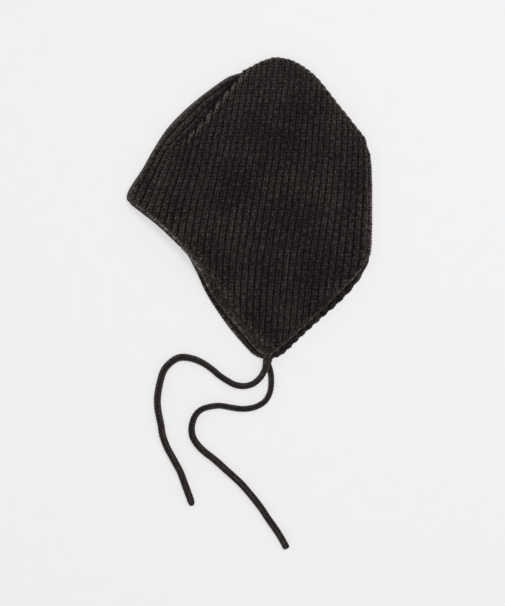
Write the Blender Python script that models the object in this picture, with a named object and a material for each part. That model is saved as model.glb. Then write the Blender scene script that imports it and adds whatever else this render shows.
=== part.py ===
"""Ribbed-knit trapper hat with two ear flaps and two tie cords, folded flat and lying on its right side.

The hat is a closed shell of knit: a left wall on top, a right wall underneath, and a front panel that
wraps round the fold between them. +Y points from the ear flaps to the crown, -X towards the forehead,
+Z up, and the right wall lies on Z = 0. Lengths are in millimetres until a mesh is made.
"""

import math

import bmesh
import bpy
from mathutils import Vector

MM = 0.001

# The knit and how it lies
WALL = 4.4  # thickness of the ribbed knit
FOLD_RADIUS = 5.5  # outer radius where the knit turns from the left wall into the right
LAYER_GAP = 0.3  # left wall to right wall where they meet at a seam
MIDDLE = FOLD_RADIUS + LAYER_GAP / 2  # height of the plane between the two walls
BULGE = 9.0  # how far the left wall arches up over the hollow
BULGE_RISE = 26.0  # distance from a closed edge over which most of the arch is reached
FLAP_TIP_Y = -147.0
FULL_BULGE_Y = -20.0  # above this the arch has its full height

# Ear flaps
FOLD_LINE_Y = -47.5  # the flaps turn up along this line
JOINT_GAP = 0.3
FLAP_HINGE_GAP = 0.15
CLEARANCE = 0.5  # between knitted pieces that are joined edge to edge

# Edge trims
BRIM_TRIM = 2.5
BAND = 6.5  # the rolled band along the front edge of each ear flap
BACK_TRIM = 2.5
TRIM_LIFT = 0.35  # keeps the lower trims just off the surface

# Seam ridges on the inside
SEAM_RADIUS = 0.8
SEAM_CLEARANCE = 0.35

# Tie cords
CORD_DIAMETER = 6.4
CORD_REST_Z = CORD_DIAMETER / 2 + 0.05
CORD_STEP = 2.3 * CORD_DIAMETER
TACK_THICKNESS = 4.0  # where the flap's last stitches are gathered to start the cord

CHARCOAL = (0.020, 0.018, 0.017, 1.0)
THREAD = (0.012, 0.011, 0.011, 1.0)

# Outlines in plan, each listed upwards from the surface of the flaps to the crown
FRONT_FOLD = ((-121, 5.5), (-123, 11), (-119, 21), (-107, 39), (-97, 57), (-81, 81), (-57, 105),
              (-25, 129), (-13, 134.3))
CROWN_FRONT = ((-13, 134.3), (-8, 135.6), (-3, 139), (5, 143.5), (14, 148), (24, 151))
CROWN_BACK = ((30, 151), (42, 148.5), (56, 141), (70, 129), (89, 105), (108, 81), (117, 69),
              (121, 54), (123, 28), (123, -12), (122, -39), (120.5, -48))
FRONT_BRIM = ((-121, 5.5), (-110, -3), (-87, -21), (-70, -37), (-60.3, -47.5))
PANEL_LINE = ((-104.7, -7.3), (-99, 5), (-93, 20), (-86, 37), (-77, 57))
DART = ((-77, 57), (-66, 67), (-53, 80), (-41, 94), (-28, 110), (-14, 127))
LEFT_FLAP_FRONT = ((-60.3, -47.5), (-48, -65), (-38, -83), (-19, -108), (1, -132), (10, -142), (15, -146))
LEFT_FLAP_BACK = ((120.5, -48), (117.5, -53.5), (108, -67), (84, -91), (56, -117), (30, -140), (21.5, -146))
RIGHT_FLAP_FRONT = ((-60.3, -47.5), (-51, -66), (-41, -87), (-21, -117), (0, -141.5), (8, -148), (15.5, -150.6))
RIGHT_FLAP_BACK = ((120.5, -48), (115, -63), (97, -87), (58, -123), (36, -144), (29, -148.5), (22.5, -150.6))

# Routes of the cords: x, y, z from the flap's point to the free end
LEFT_CORD = ((17.2, -149.2, 9.9), (17.2, -153.5, 9.9), (16.8, -158, 9.6), (15.3, -163, 8.4),
             (11.5, -169.5, 6.0), (5.5, -175, 4.1), (-1.5, -177.8, 3.4), (-8, -178.2, CORD_REST_Z),
             (-14.5, -176.8, CORD_REST_Z), (-20.5, -173.8, CORD_REST_Z), (-29.5, -168, CORD_REST_Z),
             (-36, -162.3, CORD_REST_Z), (-45, -156, CORD_REST_Z), (-55, -151.3, CORD_REST_Z),
             (-65.5, -149.4, CORD_REST_Z), (-73, -151, CORD_REST_Z), (-80, -156, CORD_REST_Z),
             (-85.5, -163, CORD_REST_Z), (-89, -174, CORD_REST_Z), (-91.3, -186, CORD_REST_Z),
             (-91.8, -195, CORD_REST_Z), (-91, -204, CORD_REST_Z), (-88.5, -216, CORD_REST_Z),
             (-86.5, -228, CORD_REST_Z), (-82, -240, CORD_REST_Z), (-75.5, -252, CORD_REST_Z),
             (-69, -264, CORD_REST_Z), (-64.5, -276, CORD_REST_Z), (-60, -288, CORD_REST_Z),
             (-56.7, -298, CORD_REST_Z))
RIGHT_CORD = tuple((x, y, CORD_REST_Z) for x, y in (
    (19.2, -153.4), (19.8, -157.5), (21.3, -162.5), (22.2, -168), (22.4, -174), (22, -180), (20.5, -186),
    (17, -192.3), (12, -196.5), (6, -199.3), (-1, -200.8), (-8, -201.1), (-17, -199.8), (-29, -197.9),
    (-39, -198.8), (-48, -201.8), (-54, -208), (-57, -216), (-57.6, -223), (-56, -230), (-52, -236.5),
    (-45.5, -243.3), (-34.5, -252), (-21, -264), (-8, -276), (2.5, -288), (12, -300), (20, -312),
    (28.5, -324), (35.5, -336), (38, -341)))


# ---------------------------------------------------------------- curves


def smooth_curve(points, step):
    """Points about one step apart on the Catmull-Rom curve through the given ones."""
    points = [Vector(p) for p in points]
    ends = [2 * points[0] - points[1], *points, 2 * points[-1] - points[-2]]
    fine = []
    for a, b, c, d in zip(ends, ends[1:], ends[2:], ends[3:]):
        for k in range(12):
            t = k / 12
            fine.append(0.5 * (2 * b + (c - a) * t + (2 * a - 5 * b + 4 * c - d) * t * t
                               + (3 * b - a - 3 * c + d) * t ** 3))
    fine.append(points[-1])
    return evenly(fine, step)


def evenly(line, step):
    """The line again, with its points evenly spaced about one step apart."""
    along = [0.0]
    for a, b in zip(line, line[1:]):
        along.append(along[-1] + (b - a).length)
    count = max(2, round(along[-1] / step))
    made, i = [], 0
    for k in range(count + 1):
        at = along[-1] * k / count
        while i < len(line) - 2 and along[i + 1] < at:
            i += 1
        share = (at - along[i]) / max(along[i + 1] - along[i], 1e-9)
        made.append(line[i].lerp(line[i + 1], min(share, 1.0)))
    return made


def x_at(line, y):
    """Where a line that always climbs or always falls crosses a height y."""
    for a, b in zip(line, line[1:]):
        if min(a.y, b.y) <= y <= max(a.y, b.y) and a.y != b.y:
            return a.x + (b.x - a.x) * (y - a.y) / (b.y - a.y)
    return min(line, key=lambda p: abs(p.y - y)).x


def normals(line, inside):
    """Unit normals in plan at each point of a line, pointing to the side of the point inside."""
    made = []
    for i, p in enumerate(line):
        along = line[min(i + 1, len(line) - 1)] - line[max(i - 1, 0)]
        n = Vector((-along.y, along.x)).normalized()
        made.append(n if n.dot(inside - p) > 0 else -n)
    return made


def nearest(line, p):
    """The distance from p to the line in plan, and the inward direction from the line to p."""
    best, foot, side = math.inf, None, None
    for a, b in zip(line, line[1:]):
        d = b - a
        t = min(1.0, max(0.0, (p - a).dot(d) / d.length_squared))
        q = a + d * t
        far = (p - q).length
        if far < best:
            best, foot, side = far, q, Vector((d.y, -d.x)).normalized()
    if best > 0.05:
        return best, (p - foot) / best
    return best, side


# ---------------------------------------------------------------- the two walls

FINE = 3.0
front_fold = smooth_curve(FRONT_FOLD, FINE)
crown_front = smooth_curve(CROWN_FRONT, FINE)
crown_back = smooth_curve(CROWN_BACK, FINE)
closed_edge = [*front_fold, *crown_front[1:], *crown_back]
panel_line = smooth_curve(PANEL_LINE, FINE)
dart = smooth_curve(DART, FINE)
HAT_MIDDLE = Vector((20, 0))


def arch(p, far):
    """How far the left wall stands up over the flattest it can lie."""
    share = min(1.0, max(0.0, (p.y - FLAP_TIP_Y) / (FULL_BULGE_Y - FLAP_TIP_Y)))
    share = share * share * (3 - 2 * share)
    return BULGE * (1 - math.exp(-max(far - FOLD_RADIUS, 0) / BULGE_RISE)) * share


def wall_at(p, left):
    """The outer and the inner point of the knit over a plan position, for the left or the right wall."""
    far, inward = nearest(closed_edge, p)
    turn = math.acos(max(0.0, 1 - far / FOLD_RADIUS))
    shift = inward * WALL * math.cos(turn)
    rise = FOLD_RADIUS * math.sin(turn)
    drop = WALL * math.sin(turn)
    if left:
        outer = MIDDLE + LAYER_GAP / 2 + rise + arch(p, far)
        inner = outer - drop
    else:
        outer = MIDDLE - LAYER_GAP / 2 - rise
        inner = outer + drop
    return Vector((p.x, p.y, outer)), Vector((p.x + shift.x, p.y + shift.y, inner))


# ---------------------------------------------------------------- meshes


def material(name, colour, roughness):
    found = bpy.data.materials.get(name)
    if found:
        return found
    made = bpy.data.materials.new(name)
    made.use_nodes = True
    shader = made.node_tree.nodes["Principled BSDF"]
    shader.inputs["Base Color"].default_value = colour
    shader.inputs["Roughness"].default_value = roughness
    shader.inputs["Metallic"].default_value = 0.0
    return made


def add_object(name, bm, colour=CHARCOAL, origin=(0, 0, 0)):
    """Makes a named object of a mesh in millimetres, with its origin where it is asked for."""
    bmesh.ops.remove_doubles(bm, verts=bm.verts, dist=0.01)
    bmesh.ops.recalc_face_normals(bm, faces=bm.faces)
    if bm.calc_volume(signed=True) < 0:
        bmesh.ops.reverse_faces(bm, faces=bm.faces)
    for v in bm.verts:
        v.co = (v.co - Vector(origin)) * MM
    mesh = bpy.data.meshes.new(name)
    bm.to_mesh(mesh)
    bm.free()
    mesh.materials.append(material("thread" if colour is THREAD else "rib_knit", colour, 0.95))
    mesh.shade_smooth()
    mesh.set_sharp_from_angle(angle=math.radians(45))
    made = bpy.data.objects.new(name, mesh)
    made.location = Vector(origin) * MM
    bpy.context.scene.collection.objects.link(made)
    return made


def sweep(name, rings, colour=CHARCOAL, origin=(0, 0, 0)):
    """A solid with the same number of points in every ring, and a flat face at each end."""
    bm = bmesh.new()
    rows = [[bm.verts.new(p) for p in ring] for ring in rings]
    for a, b in zip(rows, rows[1:]):
        for i, v in enumerate(a):
            j = (i + 1) % len(a)
            bm.faces.new((v, a[j], b[j], b[i]))
    bm.faces.new(reversed(rows[0]))
    bm.faces.new(rows[-1])
    return add_object(name, bm, colour, origin)


def shell(name, rows, left, origin=(0, 0, 0)):
    """The piece of one wall over a grid of plan positions. Every row has the same number of them."""
    rings = []
    for row in rows:
        pairs = [wall_at(p, left) for p in row]
        rings.append([outer for outer, _ in pairs] + [inner for _, inner in reversed(pairs)])
    return sweep_strip(name, rings, origin)


def sweep_strip(name, rings, origin=(0, 0, 0)):
    """As sweep, for long thin rings: each end is filled by quads from its outer to its inner side."""
    bm = bmesh.new()
    rows = [[bm.verts.new(p) for p in ring] for ring in rings]
    count = len(rows[0])
    for a, b in zip(rows, rows[1:]):
        for i in range(count):
            j = (i + 1) % count
            bm.faces.new((a[i], a[j], b[j], b[i]))
    for row in (rows[0], rows[-1]):
        for i in range(count // 2 - 1):
            bm.faces.new((row[i], row[i + 1], row[count - 2 - i], row[count - 1 - i]))
    return add_object(name, bm, origin=origin)


# ---------------------------------------------------------------- panels

SIDE_COLUMNS = 14
SIDE_ROWS = (-39, -30, -20, -11, -4.5, 0, 5, 20, 38, 57, 68, 80, 94, 108, 119, 127, 134.5, 139,
             143.5, 147, 149.5, 150.8)
FLAP_COLUMNS, FLAP_ROWS = 13, 9


def inset(line, width, inside=HAT_MIDDLE):
    """The line moved inwards by a width, which may be a function of the share of its length."""
    made = []
    for k, (p, n) in enumerate(zip(line, normals(line, inside))):
        w = width(k / (len(line) - 1)) if callable(width) else width
        made.append(p + n * w)
    return made


def brim_width(share):
    """The brim's trim is narrow at the forehead and grows into the band of the ear flap."""
    return BRIM_TRIM + (BAND - 1.5 - BRIM_TRIM) * max(0.0, (share - 0.7) / 0.3)


def band_width(share):
    return BAND - 1.5 * abs(2 * share - 1)


def crowded(share):
    """Shares of a width, crowded towards both ends, where the knit turns over."""
    return 0.5 - 0.5 * math.cos(math.pi * share)


def side_panel(name, left):
    """One side of the cap, from the fold line of its flap up to the crown seam."""
    rim = inset(brim, lambda share: brim_width(share) + CLEARANCE)
    seam = [p + Vector((CLEARANCE, 0)) for p in [*panel_line, *dart[1:]]]
    corner = next(k for k, p in enumerate(reversed(rim)) if p.x < seam[0].x)
    below = list(reversed(rim))[:corner]
    front = [*below, *(p for p in [*seam, *crown_front] if p.y > below[-1].y)]
    rows = []
    for y in (FOLD_LINE_Y + FLAP_HINGE_GAP, *SIDE_ROWS):
        a, b = x_at(front, y), x_at(crown_back, y)
        rows.append([Vector((a + (b - a) * crowded(i / SIDE_COLUMNS), y)) for i in range(SIDE_COLUMNS + 1)])
    return shell(name, rows, left)


def ear_flap(name, front_line, back_line, left, origin):
    """The tapering flap below the fold line, inside its edge trims."""
    front = inset(front_line, lambda share: band_width(share) + CLEARANCE)
    back = inset(back_line, BACK_TRIM + CLEARANCE)
    top = FOLD_LINE_Y - FLAP_HINGE_GAP
    bottom = front[-1].y + CLEARANCE
    rows = []
    for k in range(FLAP_ROWS + 1):
        y = top + (bottom - top) * k / FLAP_ROWS
        a, b = x_at(front, y), x_at(back, y)
        rows.append([Vector((a + (b - a) * crowded(i / FLAP_COLUMNS), y)) for i in range(FLAP_COLUMNS + 1)])
    return shell(name, rows, left, origin)


def front_panel():
    """The centre-front panel: a strip that wraps round the fold, from the forehead up to the crown."""
    fold = evenly(front_fold, 1.0)
    side = evenly([*panel_line, *dart[1:]], 1.0)
    places = [min(range(len(side)), key=lambda k: abs(side[k].y - y)) for y in SIDE_ROWS if -1 < y < 122]
    lift = Vector((0.6, 0.8)) * (BRIM_TRIM + CLEARANCE)
    rings = []
    for place in (0, *places, len(side) - 2):
        share = place / (len(side) - 1)
        edge = fold[round(share * (len(fold) - 1))].copy()
        seam = side[place].copy()
        across = (seam - edge).normalized()
        if place == 0:
            edge, seam = edge + lift, seam + lift * 1.15 - across * CLEARANCE
        seam -= across * CLEARANCE / 2
        rings.append(wrapped(edge, across, (seam - edge).length))
    return sweep_strip("front_panel", rings)


def wrapped(edge, across, width):
    """A section of the knit that comes up round the fold: left wall, fold and right wall."""
    steps = [0.0]
    for i, angle in enumerate((25, 55, 90), 1):
        steps.append(min(FOLD_RADIUS * (1 - math.cos(math.radians(angle))), width * 0.24 * i))
    steps += [(steps[-1] + width) / 2, width]
    pairs = [wall_at(edge + across * s, True) for s in reversed(steps)]
    pairs += [wall_at(edge + across * s, False) for s in steps]
    return [outer for outer, _ in pairs] + [inner for _, inner in reversed(pairs)]


# ---------------------------------------------------------------- trims


def trim(name, stations, lift=0.0, colour=CHARCOAL, origin=(0, 0, 0)):
    """A rolled edge. Each station is (outer, inner, outward, width): the knit's edge and the way out."""
    profile = ((CLEARANCE / 2, 1.0), (0.55, 0.94), (0.88, 0.6), (1.0, 0.0), (0.88, -0.6), (0.55, -0.94),
               (CLEARANCE / 2, -1.0))
    rings = []
    for outer, inner, outward, width in stations:
        centre, half = (outer + inner) / 2, (outer - inner) / 2
        ring = []
        for i, (out, up) in enumerate(profile):
            reach = out if i in (0, len(profile) - 1) else out * width
            ring.append(centre + outward * reach + half * up + Vector((0, 0, lift)))
        rings.append(ring)
    return sweep(name, rings, colour, origin)


def edge_stations(line, width, left, inside=HAT_MIDDLE, skip=(0.0, 1.0)):
    made = []
    for k, (p, n) in enumerate(zip(line, normals(line, inside))):
        share = k / (len(line) - 1)
        if not skip[0] <= share <= skip[1]:
            continue
        w = width(share) if callable(width) else width
        outer, inner = wall_at(p + n * w, left)
        made.append((outer, inner, Vector((-n.x, -n.y, 0)), w - CLEARANCE / 2))
    return made


def brim_trim():
    """One continuous trim: down the left side of the face opening, round the fold, down the right side."""
    left = edge_stations(brim, brim_width, True, skip=(0.05, 0.985))
    right = edge_stations(brim, brim_width, False, skip=(0.05, 0.985))
    edge = front_fold[0] + Vector((0.6, 0.8)) * BRIM_TRIM
    across = Vector((0.8, -0.6))
    turning = []
    for on_left, angles in ((True, (65, 35)), (None, (0,)), (False, (35, 65))):
        for angle in angles:
            far = FOLD_RADIUS * (1 - math.cos(math.radians(angle)))
            outer, inner = wall_at(edge + across * far, on_left is not False)
            if on_left is None:
                outer.z = inner.z = MIDDLE
            turning.append((outer, inner, Vector((-0.6, -0.8, 0)), BRIM_TRIM - CLEARANCE / 2))
    return trim("brim_edge", [*reversed(left), *turning, *right])


# ---------------------------------------------------------------- seams, cords and tacks


def ridge(name, line, heights, colour=THREAD):
    """A seam's raised ridge inside the hat: a round bead along a line."""
    rings = []
    for (p, z), n in zip(zip(line, heights), normals(line, HAT_MIDDLE)):
        ring = []
        for k in range(6):
            a = math.tau * k / 6
            ring.append(Vector((p.x, p.y, z)) + Vector((n.x * math.cos(a), n.y * math.cos(a), math.sin(a)))
                        * SEAM_RADIUS)
        rings.append(ring)
    return sweep(name, rings, colour)


def dart_ridge(name, left):
    line = [p for p in evenly(dart, 6.0) if p.y < 108]
    reach = SEAM_RADIUS + SEAM_CLEARANCE
    heights = [wall_at(p, left)[1].z + (-reach if left else reach) for p in line]
    return ridge(name, line, heights)


def edge_ridge(name, line):
    """The ridge of a seam along a closed edge, in the corner between the two walls."""
    moved = evenly(inset(line, FOLD_RADIUS + SEAM_RADIUS + 0.2), 9.0)
    return ridge(name, moved, [MIDDLE] * len(moved))


def tie_cord(name, route, origin):
    """A knitted cord as one round tube along its route."""
    line = smooth_curve(route, CORD_STEP)
    data = bpy.data.curves.new(name, "CURVE")
    data.dimensions = "3D"
    data.bevel_depth = CORD_DIAMETER / 2 * MM
    data.bevel_resolution = 2
    data.use_fill_caps = True
    spline = data.splines.new("POLY")
    spline.points.add(len(line) - 1)
    for point, p in zip(spline.points, line):
        point.co = (*((p - Vector(origin)) * MM), 1.0)
    data.materials.append(material("rib_knit", CHARCOAL, 0.95))
    made = bpy.data.objects.new(name, data)
    made.location = Vector(origin) * MM
    bpy.context.scene.collection.objects.link(made)
    return made


def cord_tack(name, top, bottom, z, origin):
    """The point of a flap, gathered to the cord's width. top and bottom are (x, y, half width)."""
    rings = []
    for k in range(4):
        x, y, half = (a + (b - a) * k / 3 for a, b in zip(top, bottom))
        rings.append([Vector((x + half * math.cos(math.tau * i / 12), y,
                              z + TACK_THICKNESS / 2 * math.sin(math.tau * i / 12))) for i in range(12)])
    return sweep(name, rings, THREAD, origin)


# ---------------------------------------------------------------- the hat

HINGE_X = 25.0
LEFT_HINGE = (HINGE_X, FOLD_LINE_Y, 21.0)
RIGHT_HINGE = (HINGE_X, FOLD_LINE_Y, -0.3)

LEFT_TACK = ((19.2, -142.6, 0.8), (18.2, -146.7, 2.7))
RIGHT_TACK = ((19.3, -146.2, 1.8), (19.2, -150.9, 2.6))

brim = smooth_curve(FRONT_BRIM, 5.0)


def flap_group(side, front_points, back_points, route, hinge):
    """An ear flap with its band, its back trim, its cord and the tack that holds the cord."""
    left = side == "left"
    front_line = smooth_curve(front_points, 7.0)
    back_line = smooth_curve(back_points, 7.0)
    lift = 0.0 if left else TRIM_LIFT
    ear_flap(f"{side}_ear_flap", front_line, back_line, left, hinge)
    trim(f"{side}_flap_front_edge",
         edge_stations(front_line, band_width, left, skip=(0.02, 1.0)), lift, origin=hinge)
    trim(f"{side}_flap_back_edge",
         edge_stations(back_line, BACK_TRIM, left, skip=(0.04, 1.0)), lift, origin=hinge)
    tie_cord(f"{side}_tie_cord", route, (*route[0][:2], route[0][2]))
    z = sum(p.z for p in wall_at(Vector(route[0][:2]), left)) / 2
    cord_tack(f"{side}_cord_tack", *(LEFT_TACK if left else RIGHT_TACK), z + lift, hinge)


def build():
    for old in list(bpy.data.objects):
        bpy.data.objects.remove(old)
    front_panel()
    side_panel("left_side_panel", True)
    side_panel("right_side_panel", False)
    brim_trim()
    dart_ridge("left_front_seam", True)
    dart_ridge("right_front_seam", False)
    corner = next(k for k, p in enumerate(crown_back) if p.y < 52)
    edge_ridge("crown_seam", [*crown_front[4:], *crown_back[:corner]])
    edge_ridge("back_seam", crown_back[corner + 1:-3])
    flap_group("left", LEFT_FLAP_FRONT, LEFT_FLAP_BACK, LEFT_CORD, LEFT_HINGE)
    flap_group("right", RIGHT_FLAP_FRONT, RIGHT_FLAP_BACK, RIGHT_CORD, RIGHT_HINGE)


build()
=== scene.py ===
"""The looks of a rib-knit trapper hat, laid flat on its right side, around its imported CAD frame.

Lengths are in millimetres in the hat's own frame until a mesh is made, which is in metres.
"""

import math

import bpy
import numpy as np
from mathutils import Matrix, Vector


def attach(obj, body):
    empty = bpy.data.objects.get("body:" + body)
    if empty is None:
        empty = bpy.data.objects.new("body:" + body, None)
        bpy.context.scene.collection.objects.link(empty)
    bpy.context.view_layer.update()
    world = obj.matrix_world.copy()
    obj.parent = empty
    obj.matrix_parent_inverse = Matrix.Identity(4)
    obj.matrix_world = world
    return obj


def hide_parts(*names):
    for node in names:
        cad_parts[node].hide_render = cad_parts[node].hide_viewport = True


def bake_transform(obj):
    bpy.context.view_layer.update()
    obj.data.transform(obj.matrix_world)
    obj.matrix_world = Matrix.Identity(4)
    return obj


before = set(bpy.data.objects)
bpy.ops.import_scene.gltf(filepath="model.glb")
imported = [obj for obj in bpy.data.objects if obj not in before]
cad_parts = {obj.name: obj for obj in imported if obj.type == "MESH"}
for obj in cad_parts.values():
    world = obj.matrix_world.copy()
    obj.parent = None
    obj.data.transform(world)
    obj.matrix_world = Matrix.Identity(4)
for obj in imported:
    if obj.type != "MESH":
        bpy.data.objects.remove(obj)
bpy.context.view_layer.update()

MM = 0.001

# ---------------------------------------------------------------- camera

VIEW_CENTRE = (3.5, -95.0)  # the spot that the camera looks straight down on
VIEW_HEIGHT = 606.0  # what the view takes in from top to bottom at the height MIDDLE
LENS, SENSOR = 100.0, 36.0
MIDDLE = 5.65  # height of the plane between the hat's two walls, where its outline is widest

camera_data = bpy.data.cameras.new("camera")
camera_data.lens = LENS
camera_data.sensor_width = SENSOR
camera = bpy.data.objects.new("camera", camera_data)
camera.location = (VIEW_CENTRE[0] * MM, VIEW_CENTRE[1] * MM,
                   (VIEW_HEIGHT * LENS / SENSOR + MIDDLE) * MM)
bpy.context.scene.collection.objects.link(camera)
bpy.context.scene.camera = camera

# ---------------------------------------------------------------- the hat's lines, as in part.py

WALL = 4.4  # thickness of the knit
FOLD = 5.5  # outer radius where the knit turns from the left wall into the right
BULGE, BULGE_RISE = 9.0, 26.0  # the left wall's arch, and over what distance from a closed edge it rises
FLAP_TIP_Y, FULL_BULGE_Y = -147.0, -20.0  # the arch grows from the flap's point up to the second

FRONT_FOLD = ((-121, 5.5), (-123, 11), (-119, 21), (-107, 39), (-97, 57), (-81, 81), (-57, 105), (-25, 129),
              (-13, 134.3))
CROWN_FRONT = ((-13, 134.3), (-8, 135.6), (-3, 139), (5, 143.5), (14, 148), (24, 151))
CROWN_BACK = ((30, 151), (42, 148.5), (56, 141), (70, 129), (89, 105), (108, 81), (117, 69), (121, 54),
              (123, 28), (123, -12), (122, -39), (120.5, -48))
FRONT_BRIM = ((-121, 5.5), (-110, -3), (-87, -21), (-70, -37), (-60.3, -47.5))
PANEL_LINE = ((-104.7, -7.3), (-99, 5), (-93, 20), (-86, 37), (-77, 57))
DART = ((-77, 57), (-66, 67), (-53, 80), (-41, 94), (-28, 110), (-18, 121), (-11, 129), (-7.5, 134.5))
FLAP_FRONT = {
    "left": ((-60.3, -47.5), (-48, -65), (-38, -83), (-19, -108), (1, -132), (10, -142), (15, -146)),
    "right": ((-60.3, -47.5), (-51, -66), (-41, -87), (-21, -117), (0, -141.5), (8, -148), (15.5, -150.6)),
}
FLAP_BACK = {
    "left": ((120.5, -48), (117.5, -53.5), (108, -67), (84, -91), (56, -117), (30, -140), (21.5, -146)),
    "right": ((120.5, -48), (115, -63), (97, -87), (58, -123), (36, -144), (29, -148.5), (22.5, -150.6)),
}
REST = 3.25  # height of a cord's middle where it lies on the surface
CORD_ROUTE = {
    "left": ((17.2, -149.2, 9.9), (17.2, -153.5, 9.9), (16.8, -158, 9.6), (15.3, -163, 8.4),
             (11.5, -169.5, 6.0), (5.5, -175, 4.1), (-1.5, -177.8, 3.4), *((x, y, REST) for x, y in (
                 (-8, -178.2), (-14.5, -176.8), (-20.5, -173.8), (-29.5, -168), (-36, -162.3), (-45, -156),
                 (-55, -151.3), (-65.5, -149.4), (-73, -151), (-80, -156), (-85.5, -163), (-89, -174),
                 (-91.3, -186), (-91.8, -195), (-91, -204), (-88.5, -216), (-86.5, -228), (-82, -240),
                 (-75.5, -252), (-69, -264), (-64.5, -276), (-60, -288), (-56.7, -298)))),
    "right": ((19.2, -153.4, REST), *((x, y, REST) for x, y in (
        (19.8, -157.5), (21.3, -162.5), (22.2, -168), (22.4, -174), (22, -180), (20.5, -186), (17, -192.3),
        (12, -196.5), (6, -199.3), (-1, -200.8), (-8, -201.1), (-17, -199.8), (-29, -197.9), (-39, -198.8),
        (-48, -201.8), (-54, -208), (-57, -216), (-57.6, -223), (-56, -230), (-52, -236.5), (-45.5, -243.3),
        (-34.5, -252), (-21, -264), (-8, -276), (2.5, -288), (12, -300), (20, -312), (28.5, -324),
        (35.5, -336), (38, -341)))),
}
CORD_DIAMETER = 6.4


def evenly(line, step):
    """The line again, with its points evenly spaced about one step apart."""
    along = np.concatenate([[0.0], np.linalg.norm(np.diff(line, axis=0), axis=1).cumsum()])
    at = np.linspace(0, along[-1], max(2, round(along[-1] / step)) + 1)
    return np.stack([np.interp(at, along, line[:, k]) for k in range(line.shape[1])], 1)


def smooth_curve(points, step):
    """Points about one step apart on the Catmull-Rom curve through the given ones."""
    p = np.array(points, float)
    p = np.vstack([2 * p[0] - p[1], p, 2 * p[-1] - p[-2]])
    t = (np.arange(12) / 12)[:, None]
    spans = [0.5 * (2 * b + (c - a) * t + (2 * a - 5 * b + 4 * c - d) * t ** 2
                    + (3 * b - a - 3 * c + d) * t ** 3)
             for a, b, c, d in zip(p, p[1:], p[2:], p[3:])]
    return evenly(np.vstack([*spans, p[-2:-1]]), step)


def smoothstep(x, low=0.0, high=1.0):
    """0 up to low, 1 from high on, and smooth between them. low may be the larger one."""
    t = np.clip((x - low) / (high - low), 0, 1)
    return t * t * (3 - 2 * t)


def unit(v):
    """The vectors, each at length 1."""
    return v / np.maximum(np.linalg.norm(v, axis=-1, keepdims=True), 1e-9)


LATTICE_SIZE = 64
LATTICE = np.random.RandomState(11).rand(LATTICE_SIZE, LATTICE_SIZE) * 2 - 1


def noise(x, y):
    """Smooth noise from -1 to 1 over the plane, the same each run."""
    x, y = np.broadcast_arrays(np.asarray(x, float), np.asarray(y, float))
    i, j = np.floor(x).astype(int), np.floor(y).astype(int)
    fx, fy = smoothstep(x - i), smoothstep(y - j)
    corner = [[LATTICE[(i + a) % LATTICE_SIZE, (j + b) % LATTICE_SIZE] for b in (0, 1)] for a in (0, 1)]
    return ((corner[0][0] * (1 - fy) + corner[0][1] * fy) * (1 - fx)
            + (corner[1][0] * (1 - fy) + corner[1][1] * fy) * fx)


FINE = 3.0  # step between the points of the lines below
front_fold = smooth_curve(FRONT_FOLD, FINE)
crown_front = smooth_curve(CROWN_FRONT, FINE)
crown_back = smooth_curve(CROWN_BACK, FINE)
closed_edge = np.vstack([front_fold, crown_front[1:], crown_back])
panel_line = smooth_curve(PANEL_LINE, FINE)
dart = smooth_curve(DART, FINE)
brim = smooth_curve(FRONT_BRIM, FINE)
flap_front = {side: smooth_curve(p, FINE) for side, p in FLAP_FRONT.items()}
flap_back = {side: smooth_curve(p, FINE) for side, p in FLAP_BACK.items()}


def nearest(points, line):
    """Each point's distance in plan to the line, below zero on its left, and the unit way to its right."""
    a, d = line[:-1], np.diff(line, axis=0)
    size = (d * d).sum(1)
    right = unit(np.stack([d[:, 1], -d[:, 0]], 1))
    far, way = np.empty(len(points)), np.empty((len(points), 2))
    for i in range(0, len(points), 4096):
        p = points[i:i + 4096, None]
        t = np.clip(((p - a) * d).sum(2) / size, 0, 1)
        gap = p - (a + d * t[..., None])
        k = (gap ** 2).sum(2).argmin(1)
        rows = np.arange(len(k))
        gap, side = gap[rows, k], right[k]
        r = np.linalg.norm(gap, axis=1)
        over = (gap * side).sum(1)
        away = np.where((r > 0.05)[:, None] & (over > 0)[:, None], gap / np.maximum(r, 1e-9)[:, None], side)
        far[i:i + 4096] = np.where(over < 0, -r, r)
        way[i:i + 4096] = away
    return far, way


def wall(plan, left):
    """The knit's outer and inner points over plan positions, its outward normal, and how far along the knit
    the closed edge is."""
    far, inward = nearest(plan, closed_edge)
    far = np.maximum(far, 0)
    turn = np.arccos(np.clip(1 - far / FOLD, 0, 1))
    up = 1.0 if left else -1.0
    z = MIDDLE + up * MIDDLE * np.sin(turn)
    if left:
        share = smoothstep(plan[:, 1], FLAP_TIP_Y, FULL_BULGE_Y)
        z = z + BULGE * (1 - np.exp(-np.maximum(far - FOLD, 0) / BULGE_RISE)) * share
    normal = np.concatenate([-inward * np.cos(turn)[:, None], (up * np.sin(turn))[:, None]], 1)
    outer = np.concatenate([plan, z[:, None]], 1)
    reach = np.where(far < FOLD, FOLD * turn, FOLD * math.pi / 2 + far - FOLD)
    return outer, outer - normal * WALL, normal, reach


# ---------------------------------------------------------------- ribs

LAST_RIB = 33.5  # ribs across a side panel. The half rib goes on round the back fold.
COLUMNS = (0.0, 0.12, 0.31, 0.5, 0.69, 0.88)  # the mesh's columns in a rib, from one valley towards the next
PITCH = 6.1  # width of a rib in the material's coordinates
COURSE = 3.3  # height of a row of stitches
SLANT = 1.2  # how much higher a stitch's leg is at the rib's edge, in courses for each rib
GUIDE_Y = np.array([-140.0, -100.0, -47.0, -2.0, 40.0, 90.0, 145.0])
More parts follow.
